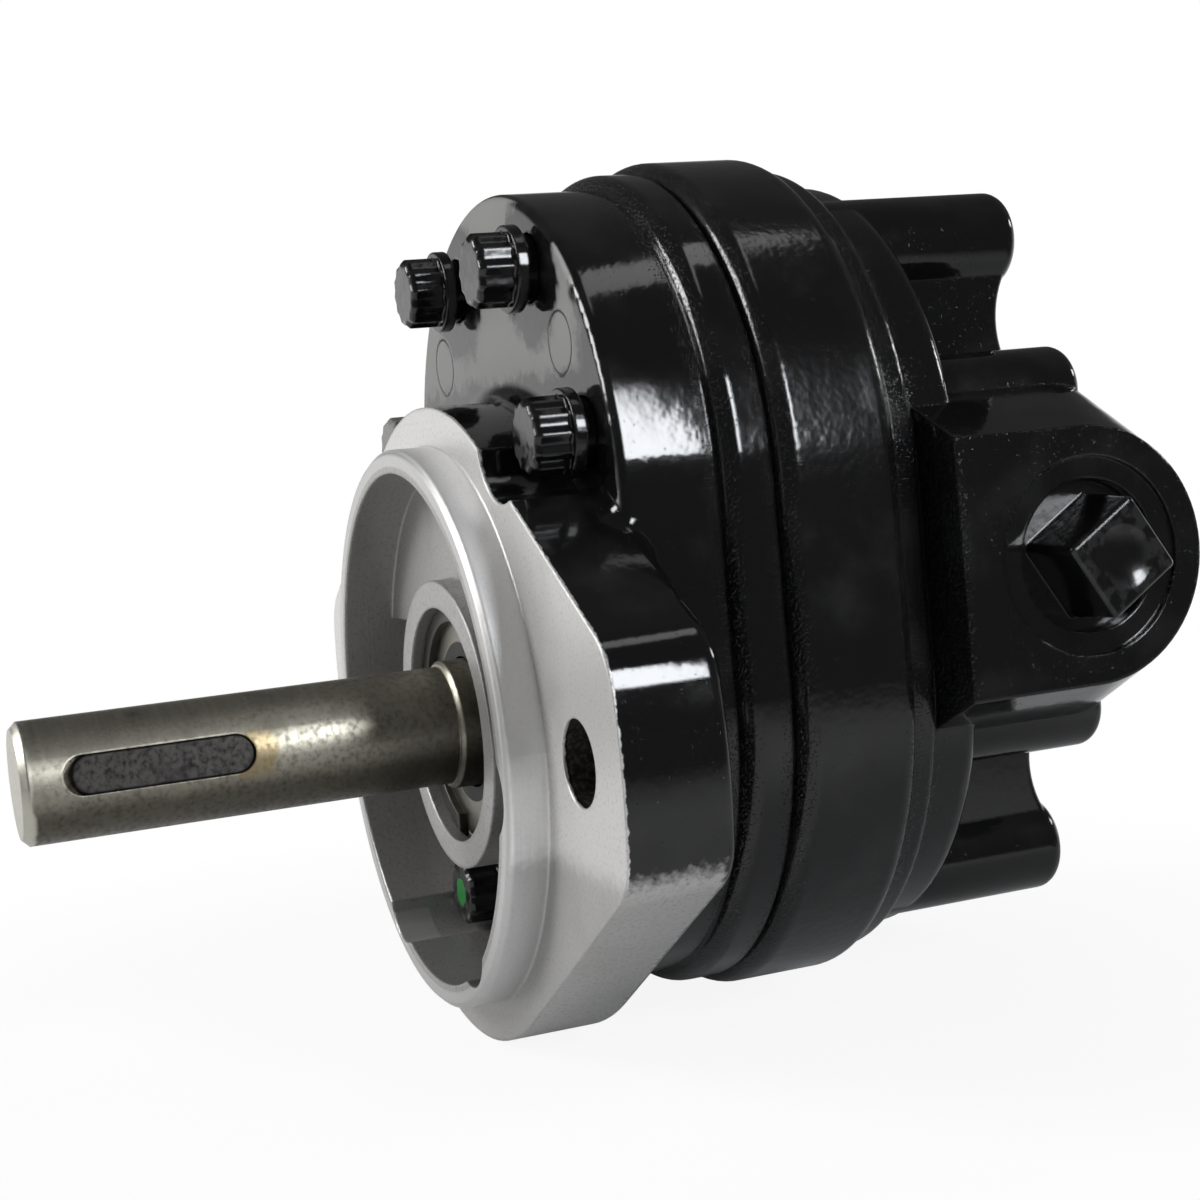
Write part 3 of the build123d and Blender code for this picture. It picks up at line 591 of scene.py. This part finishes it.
# %% Bare steel: stains over turned marks
def steel_finish(name, clean, dull, roughness, rust_at=None, bright_before=None, mottle=None):
    material, tree, shader, place = start_material(name)
    soft = use_group(tree, soft_edge, Radius=0.4 * MM)
    marks = use_group(tree, turned_marks, Place=place, Pitch=0.5 * MM).outputs["Value"]
    worn = stains(tree, place, 5 * MM, 0.5, 0.3)
    colour = mix_colours(tree, worn, clean, dull)
    rough = mix_numbers(tree, marks, roughness - 0.06, roughness + 0.1)
    if mottle is not None:
        pits = stains(tree, place, 0.8 * MM, 0.62, 0.40)
        colour = mix_colours(tree, pits, colour, mottle)
        rough = pushed(tree, pits, 0.15, rough)
    if bright_before is not None:
        colour = underside_and_handling(tree, place, worn, colour, bright_before)
    if rust_at is not None:
        colour = rust_spot(tree, place, colour, rust_at)
    feed(tree, shader.inputs["Base Color"], colour)
    feed(tree, shader.inputs["Roughness"], rough)
    shader.inputs["Metallic"].default_value = 1.0
    finish_normal(tree, shader, marks, 0.01 * MM, soft)
    return material


# %% The steels and the bronze
shaft_steel = steel_finish(
    "aged shaft steel", (0.40, 0.382, 0.32), (0.24, 0.223, 0.175), 0.36, rust_at=key_end,
    bright_before=shaft_low.y + 1.2 * MM, mottle=(0.23, 0.21, 0.17))
key_steel = steel_finish(
    "dark key steel", (0.06, 0.057, 0.054), (0.04, 0.037, 0.036), 0.5, mottle=(0.028, 0.026, 0.025))
gear_steel = steel_finish("hardened gear steel", (0.50, 0.50, 0.50), (0.38, 0.38, 0.38), 0.28)
seal_steel = steel_finish("oily pressed steel", (0.24, 0.23, 0.19), (0.12, 0.11, 0.09), 0.3)
ring_steel = steel_finish("phosphated ring", (0.09, 0.088, 0.08), (0.05, 0.05, 0.045), 0.45)
bushing_bronze = steel_finish("oiled bronze", (0.62, 0.42, 0.19), (0.45, 0.28, 0.11), 0.33)
print("metals:", shaft_steel.name, "to", bushing_bronze.name)

# %% [markdown]
# The seals are moulded rubber, nearly black, matt and a little dusty. Rubber has no paint to
# lose, so it needs no edge mask.

# %% Moulded rubber
RUBBER, DUSTY_RUBBER = (0.012, 0.012, 0.012), (0.025, 0.024, 0.022)
seal_rubber, tree, shader, place = start_material("moulded rubber")
dust = stains(tree, place, 3 * MM, 0.5, 0.3)
feed(tree, shader.inputs["Base Color"], mix_colours(tree, dust, RUBBER, DUSTY_RUBBER))
shader.inputs["Roughness"].default_value = 0.6
finish_normal(tree, shader, noise(tree, place, 0.5 * MM), 0.02 * MM)
print("rubber:", seal_rubber.name)

# %% [markdown]
# ## Painted fasteners
# The screws and the plug were painted with the body. Wrenches and handling then rubbed the
# paint off the head faces and the sharp corners, so the edge mask thins it there. One screw
# is left bare and grey, and another carries a dab of green marking paint.

# %% Enamel that wrenches have rubbed
RUBBED_ENAMEL, MARKING_GREEN = (0.10, 0.10, 0.097), (0.02, 0.17, 0.035)
BARE_REACH, DAB_REACH = 11.0 * MM, 3.3 * MM
dab_place = (-16.7 * MM, screws_low.y, -28.9 * MM)


def rubbed_enamel(name, face, wear, along="Y", bare_at=None, dab_at=None):
    material, tree, shader, place = start_material(name)
    soft = use_group(tree, soft_edge, Radius=0.5 * MM)
    scuff = stains(tree, place, 2.2 * MM, 0.56, 0.12)
    near_face = smooth_step(tree, away_from(tree, split(tree, place)[along], face), 0.5 * MM, 0.15 * MM)
    exposed = times(tree, largest(tree, near_face, soft.outputs["Mask"]), scuff)
    rubbed = times(tree, exposed, wear)
    colour = mix_colours(tree, rubbed, ENAMEL, RUBBED_ENAMEL)
    rough = mix_numbers(tree, rubbed, 0.14, 0.42)
    if bare_at is not None:
        gap = distance_from(tree, place, bare_at)
        bare = smooth_step(tree, gap, BARE_REACH, BARE_REACH - 0.5 * MM)
        colour = mix_colours(tree, bare, colour, TAPED_IRON)
        rough = mix_numbers(tree, bare, rough, 0.5)
    if dab_at is not None:
        gap = distance_from(tree, place, dab_at)
        smeared = pushed(tree, noise(tree, place, 1.2 * MM), 1.6 * MM, gap)
        dab = smooth_step(tree, smeared, DAB_REACH, DAB_REACH - 0.4 * MM)
        colour = mix_colours(tree, dab, colour, MARKING_GREEN)
        rough = mix_numbers(tree, dab, rough, 0.35)
    skin = use_group(tree, casting_skin, Place=place, Peel_Depth=0.4, Wave_Depth=0.3)
    finish_paint(tree, shader, colour, rough, skin.outputs["Height"], soft, 0.07 * MM)
    return material


screw_paint = rubbed_enamel(
    "rubbed screw paint", screws_low.y, 0.35, bare_at=unpainted_screw, dab_at=dab_place)
plug_paint = rubbed_enamel("rubbed plug paint", plug_high.x, 0.12, "X")
print("painted fasteners:", screw_paint.name, "and", plug_paint.name)

# %% [markdown]
# ## The cap screws
# Eight equal screws hold the castings together, so one is described and then set on eight
# points by Geometry Nodes. The head is a twelve-pointed star drawn out along the shaft, with a
# chamfered top and a round flange under it. Two rings of four stand round the two gear axes.
# The tree takes the sizes as named inputs, so a longer screw is one number.

# %% The screw's sizes, as named inputs of its tree
HEAD_POINTS, INNER_SHARE, TOP_SHARE = 12, 0.90, 0.87
tree = bpy.data.node_groups.new("cap screws", "GeometryNodeTree")
tree.interface.new_socket("Stations", in_out="INPUT", socket_type="NodeSocketGeometry")
sizes = {"Head Radius": 5.35 * MM, "Head Length": 7.0 * MM, "Chamfer": 0.7 * MM,
         "Flange Radius": FLANGE_RADIUS, "Flange Thickness": 1.8 * MM,
         "Shank Radius": 4.7 * MM, "Screw Length": screws_high.y - screws_low.y}
for name, value in sizes.items():
    socket = tree.interface.new_socket(name, in_out="INPUT", socket_type="NodeSocketFloat")
    socket.default_value = value
tree.interface.new_socket("Paint", in_out="INPUT", socket_type="NodeSocketMaterial")
tree.interface.new_socket("Screws", in_out="OUTPUT", socket_type="NodeSocketGeometry")
given = add_node(tree, "NodeGroupInput")
result = add_node(tree, "NodeGroupOutput")
size = given.outputs
print("screw sizes in mm:", {name: round(value / MM, 2) for name, value in sizes.items()})

# %% The head: a star drawn out in two steps, the second one narrower
star = add_node(tree, "GeometryNodeCurveStar")
star.inputs["Points"].default_value = HEAD_POINTS
feed(tree, star.inputs["Outer Radius"], size["Head Radius"])
feed(tree, star.inputs["Inner Radius"], times(tree, size["Head Radius"], INNER_SHARE))
filled = add_node(tree, "GeometryNodeFillCurve")
feed(tree, filled.inputs["Curve"], star.outputs["Curve"])


def draw_out(mesh, length):
    step = add_node(tree, "GeometryNodeExtrudeMesh", mode="FACES")
    feed(tree, step.inputs["Mesh"], mesh)
    feed(tree, step.inputs["Offset Scale"], length)
    step.inputs["Individual"].default_value = False
    return step


straight_length = calculate(tree, "SUBTRACT", size["Head Length"], size["Chamfer"])
straight = draw_out(filled.outputs["Mesh"], straight_length)
narrowed = draw_out(straight.outputs["Mesh"], size["Chamfer"])
feed(tree, narrowed.inputs["Selection"], straight.outputs["Top"])
shrunk = add_node(tree, "GeometryNodeScaleElements")
feed(tree, shrunk.inputs["Geometry"], narrowed.outputs["Mesh"])
feed(tree, shrunk.inputs["Selection"], narrowed.outputs["Top"])
shrunk.inputs["Scale"].default_value = TOP_SHARE
closing = add_node(tree, "GeometryNodeFlipFaces")
feed(tree, closing.inputs["Mesh"], filled.outputs["Mesh"])
print("head nodes:", len(tree.nodes))


# %% The flange and the shank, two drums at the foot of the head
def drum(radius, length, sides):
    body = add_node(tree, "GeometryNodeMeshCylinder")
    body.inputs["Vertices"].default_value = sides
    feed(tree, body.inputs["Radius"], radius)
    feed(tree, body.inputs["Depth"], length)
    return body.outputs["Mesh"]


def moved_up(mesh, height):
    moved = add_node(tree, "GeometryNodeTransform")
    offset = add_node(tree, "ShaderNodeCombineXYZ")
    feed(tree, offset.inputs["Z"], height)
    feed(tree, moved.inputs["Geometry"], mesh)
    feed(tree, moved.inputs["Translation"], offset.outputs[0])
    return moved.outputs["Geometry"]


shank_length = calculate(tree, "SUBTRACT", size["Screw Length"], size["Head Length"])
flange = drum(size["Flange Radius"], size["Flange Thickness"], 48)
shank = drum(size["Shank Radius"], shank_length, 32)
joined = add_node(tree, "GeometryNodeJoinGeometry")
for part in (shrunk.outputs["Geometry"], closing.outputs["Mesh"],
             moved_up(flange, times(tree, size["Flange Thickness"], 0.5)),
             moved_up(shank, times(tree, shank_length, -0.5))):
    tree.links.new(part, joined.inputs["Geometry"])
print("nodes so far:", len(tree.nodes))

# %% One screw on every station, head towards -Y
# The screw stands on its seat with the head up, so its top is lowered to the origin first
seated = moved_up(joined.outputs["Geometry"], times(tree, size["Head Length"], -1.0))
turned = add_node(tree, "GeometryNodeTransform")
feed(tree, turned.inputs["Geometry"], seated)
turned.inputs["Rotation"].default_value = (pi / 2, 0, 0)
placed = add_node(tree, "GeometryNodeInstanceOnPoints")
feed(tree, placed.inputs["Points"], size["Stations"])
feed(tree, placed.inputs["Instance"], turned.outputs["Geometry"])
real = add_node(tree, "GeometryNodeRealizeInstances")
feed(tree, real.inputs[0], placed.outputs["Instances"])
painted = add_node(tree, "GeometryNodeSetMaterial")
feed(tree, painted.inputs["Geometry"], real.outputs[0])
feed(tree, painted.inputs["Material"], size["Paint"])
feed(tree, result.inputs["Screws"], painted.outputs["Geometry"])
print("the whole tree:", len(tree.nodes), "nodes")

# %% [markdown]
# The export drops instances and trees, so the tree's result becomes one plain mesh. It rides
# on the body that carries the screws, and takes the place of the plain solids.

# %% Turn the tree's result into one plain mesh that stands for the CAD screws
WORN_CORNER = 0.18 * MM
points = bpy.data.meshes.new("screw stations")
points.from_pydata(stations, [], [])
seeds = bpy.data.objects.new("screw stations", points)
bpy.context.scene.collection.objects.link(seeds)
maker = seeds.modifiers.new("cap screws", "NODES")
maker.node_group = tree
sockets = {item.name: item.identifier for item in tree.interface.items_tree if item.in_out == "INPUT"}
for name, value in sizes.items():
    maker[sockets[name]] = value
maker[sockets["Paint"]] = screw_paint
evaluated = seeds.evaluated_get(bpy.context.evaluated_depsgraph_get())
screw_mesh = bpy.data.meshes.new_from_object(evaluated)
seeds.modifiers.remove(maker)
bpy.data.objects.remove(seeds)
painted_screws = bpy.data.objects.new("painted_cap_screws", screw_mesh)
bpy.context.scene.collection.objects.link(painted_screws)
bevel = painted_screws.modifiers.new("worn corners", "BEVEL")
bevel.width, bevel.segments = WORN_CORNER, 2
bevel.limit_method, bevel.angle_limit = "ANGLE", radians(18)
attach(painted_screws, body_of(frame["nodes"]["cap_screws"])[0])
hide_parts("cap_screws")
print("screw mesh faces:", len(screw_mesh.polygons))

# %% [markdown]
# Every solid now takes one material. The gears and bushings are never seen in a closed pump,
# yet they get their own metals, because the same pieces may be shown taken apart.

# %% Give every piece its finish
finishes = {
    "front_cover": cover_enamel, "gear_plate": sandy_enamel, "back_plate": body_enamel,
    "drive_shaft": shaft_steel, "idler_shaft": shaft_steel,
    "shaft_key": key_steel, "gear_key": key_steel,
    "drive_gear": gear_steel, "idler_gear": gear_steel, "dowel_pins": dowel_face,
    "shaft_seal_case": seal_steel, "seal_garter_spring": seal_steel,
    "seal_retaining_ring": ring_steel, "pressure_plate": bushing_bronze,
    "drive_front_bushing": bushing_bronze, "drive_rear_bushing": bushing_bronze,
    "idler_front_bushing": bushing_bronze, "idler_rear_bushing": bushing_bronze,
    "front_body_seal": seal_rubber, "rear_body_seal": seal_rubber, "shaft_seal_lip": seal_rubber,
    "cap_screws": screw_paint, "port_plug": plug_paint}
for name, node in frame["nodes"].items():
    node.data.materials.clear()
    node.data.materials.append(finishes[name])
print("finished pieces:", len(finishes), "of", len(frame["nodes"]))

# %% [markdown]
# ## The room
# Gloss black shows only what it reflects, so the room is designed for two kinds of ray. Camera
# rays see white, except close to the pump, where the floor takes a faint shadow. Glossy rays
# see white behind the pump, and a dark studio overhead and on the camera's side. A Light Path
# node tells them apart, so neither needs a second room.

# %% Floor: takes the pump's shadow close by, and turns white further out
PALE_FLOOR, PALER_FLOOR = (0.84, 0.84, 0.84), (0.88, 0.88, 0.88)
WHITE_FROM, WHITE_BY, WHITE_NEARBY = 0.08, 0.20, 0.90
MIRRORED_FROM, MIRRORED_BY, DARK_FLOOR = 0.16, 0.36, 0.10
bpy.ops.mesh.primitive_plane_add(size=8.0, location=(0, 0, cad_low.z))
floor = bpy.context.object
floor.name = "floor"
floor_paint, tree, shader, place = start_material("pale floor")
shader.inputs["Roughness"].default_value = 0.9
shader.inputs["Specular IOR Level"].default_value = 0.1
feed(tree, shader.inputs["Base Color"], mix_colours(tree, noise(tree, place, 0.2), PALE_FLOOR, PALER_FLOOR))
rays = add_node(tree, "ShaderNodeLightPath").outputs
seen = largest(tree, rays["Is Camera Ray"], rays["Is Transmission Ray"])
from_middle = distance_from(tree, place, (0, 0, 0))
outward = smooth_step(tree, from_middle, WHITE_FROM, WHITE_BY)
beyond = smooth_step(tree, from_middle, MIRRORED_FROM, MIRRORED_BY)
seen_white = times(tree, seen, mix_numbers(tree, outward, WHITE_NEARBY, 1.0))
cover = largest(tree, seen_white, times(tree, rays["Is Glossy Ray"], beyond))
behind = smooth_step(tree, split(tree, place)["X"], 0.15, -0.15)
mirrored = mix_numbers(tree, behind, DARK_FLOOR, 1.0)
white = add_node(tree, "ShaderNodeEmission")
feed(tree, white.inputs["Strength"], mix_numbers(tree, rays["Is Glossy Ray"], 1.0, mirrored))
both = add_node(tree, "ShaderNodeMixShader")
feed(tree, both.inputs[0], cover)
feed(tree, both.inputs[1], shader.outputs[0])
feed(tree, both.inputs[2], white.outputs[0])
feed(tree, tree.nodes["Material Output"].inputs["Surface"], both.outputs[0])
floor.data.materials.append(floor_paint)
print("floor at z", round(cad_low.z / MM, 1), "mm")

# %% World: white behind the pump, a dark studio overhead and on the camera's side
ROOM_LIGHT, CEILING_LIGHT, DARK_STUDIO = 0.62, 0.16, 0.09
world = bpy.data.worlds.new("room")
bpy.context.scene.world = world
world.use_nodes = True
sky = world.node_tree
background = sky.nodes["Background"]
rays = add_node(sky, "ShaderNodeLightPath").outputs
direction = split(sky, add_node(sky, "ShaderNodeTexCoord").outputs["Generated"])
overhead = smooth_step(sky, direction["Z"], 0.04, 0.30)
room_light = mix_numbers(sky, overhead, ROOM_LIGHT, CEILING_LIGHT)
seen = largest(sky, rays["Is Camera Ray"], rays["Is Transmission Ray"])
behind = smooth_step(sky, direction["X"], 0.25, -0.30)
backdrop = mix_numbers(sky, behind, DARK_STUDIO, 1.0)
mirrored = mix_numbers(sky, overhead, backdrop, DARK_STUDIO)
reflected = mix_numbers(sky, rays["Is Glossy Ray"], room_light, mirrored)
feed(sky, background.inputs["Strength"], mix_numbers(sky, seen, reflected, 1.0))
background.inputs["Color"].default_value = (1, 1, 1, 1)
print("world nodes:", len(sky.nodes))

# %% [markdown]
# Four soft boxes draw the bright lines along the edges. Each is set by its direction from the
# pump's middle, so it stays in place round a pump of another size.

# %% Soft boxes
middle = (cad_low + cad_high) / 2


def toward(azimuth, elevation, distance):
    """A place that far from the middle; azimuth turns from +X towards +Y."""
    a, e = radians(azimuth), radians(elevation)
    return middle + distance * Vector((cos(a) * cos(e), sin(a) * cos(e), sin(e)))


def soft_box(name, place, width, height, power, tint=(1.0, 1.0, 1.0)):
    lamp = bpy.data.lights.new(name, "AREA")
    lamp.color = tint
    lamp.shape = "RECTANGLE"
    lamp.size, lamp.size_y, lamp.energy = width, height, power
    holder = bpy.data.objects.new(name, lamp)
    holder.location = place
    holder.rotation_euler = (middle - place).to_track_quat("-Z", "Y").to_euler()
    bpy.context.scene.collection.objects.link(holder)


soft_box("window", toward(19.5, 21.5, 1.2), width=0.20, height=0.52, power=8.9, tint=(0.93, 0.96, 1.0))
soft_box("back corner box", toward(88, 19, 1.0), width=0.14, height=0.14, power=1.1)
soft_box("ceiling strip", toward(60, 68, 1.0), width=0.5, height=0.10, power=0.3)
soft_box("front box", toward(-110, 30, 1.0), width=0.40, height=0.40, power=8.0)

# %% [markdown]
# ## The camera
# It stands close, low and to the right, tilted a few degrees, so the flange is seen almost
# edge on and the shaft comes towards the left.

# %% Camera
AZIMUTH, ELEVATION, ROLL = radians(68.99), radians(4.43), radians(-5.25)
DISTANCE, SHIFT_RIGHT, SHIFT_UP = 0.3138, 0.0220, 0.01841
SENSOR_WIDTH, FOCAL_LENGTH = 36.0, 63.285
back = Vector((sin(AZIMUTH) * cos(ELEVATION), -cos(AZIMUTH) * cos(ELEVATION), sin(ELEVATION)))
level_right = Vector((cos(AZIMUTH), sin(AZIMUTH), 0))
level_up = back.cross(level_right)
right = level_right * cos(ROLL) + level_up * sin(ROLL)
up = level_up * cos(ROLL) - level_right * sin(ROLL)
lens = bpy.data.cameras.new("camera")
lens.sensor_width, lens.lens = SENSOR_WIDTH, FOCAL_LENGTH
lens.clip_start, lens.clip_end = 0.01, 20.0
camera = bpy.data.objects.new("camera", lens)
turn = Matrix((right, up, back)).transposed().to_4x4()
camera.matrix_world = Matrix.Translation(back * DISTANCE + right * SHIFT_RIGHT + up * SHIFT_UP) @ turn
bpy.context.scene.collection.objects.link(camera)
bpy.context.scene.camera = camera
bpy.context.scene.view_settings.view_transform = "Standard"
print("camera", round(DISTANCE / MM), "mm from the origin along its view")

# %% Update the view layer, and finish
bpy.context.view_layer.update()
